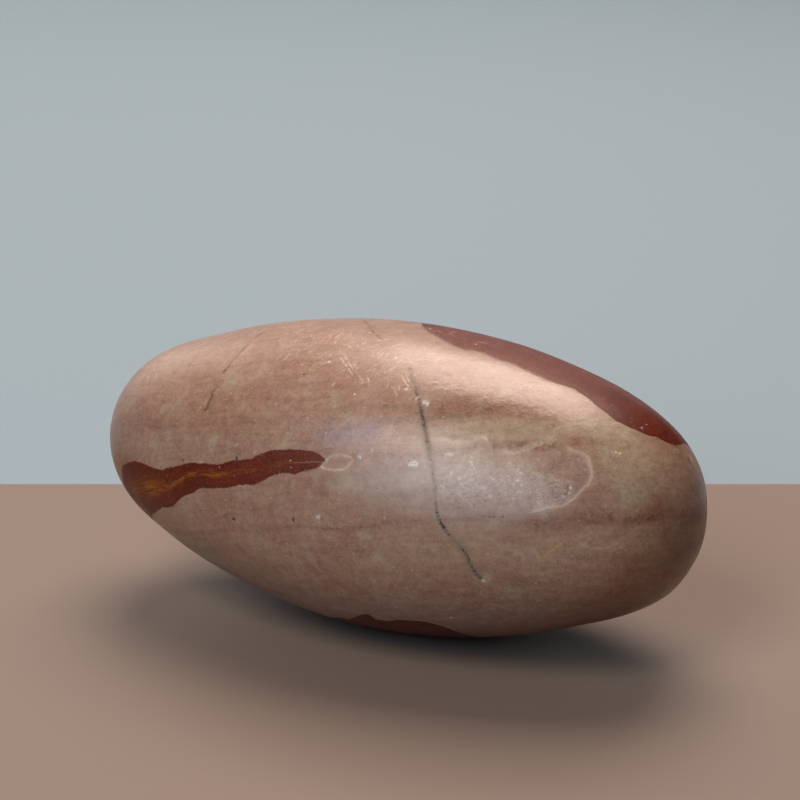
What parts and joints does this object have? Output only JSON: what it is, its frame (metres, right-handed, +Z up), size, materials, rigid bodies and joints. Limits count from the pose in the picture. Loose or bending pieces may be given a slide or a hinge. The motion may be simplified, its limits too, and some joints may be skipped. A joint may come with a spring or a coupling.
{
  "type": "river pebble",
  "caption": "Large water-worn river pebble, a smooth egg-like long stone with one end blunter than the other, hand polished, lying on its side.",
  "frame": {"origin": "on the ground, under the middle of the stone's bounding box as it lies", "axes": "+X along the stone's long axis towards its blunt end, +Z up, +Y away from the side that the picture shows"},
  "size_m": [0.1498, 0.076, 0.0714],
  "materials": {
    "river_stone": "hand-polished cryptocrystalline stone, satin to semi-gloss, tan and brown with dark red jasper patches"
  },
  "bodies": {
    "root": {"river_pebble": "river_stone"}
  },
  "joints": []
}
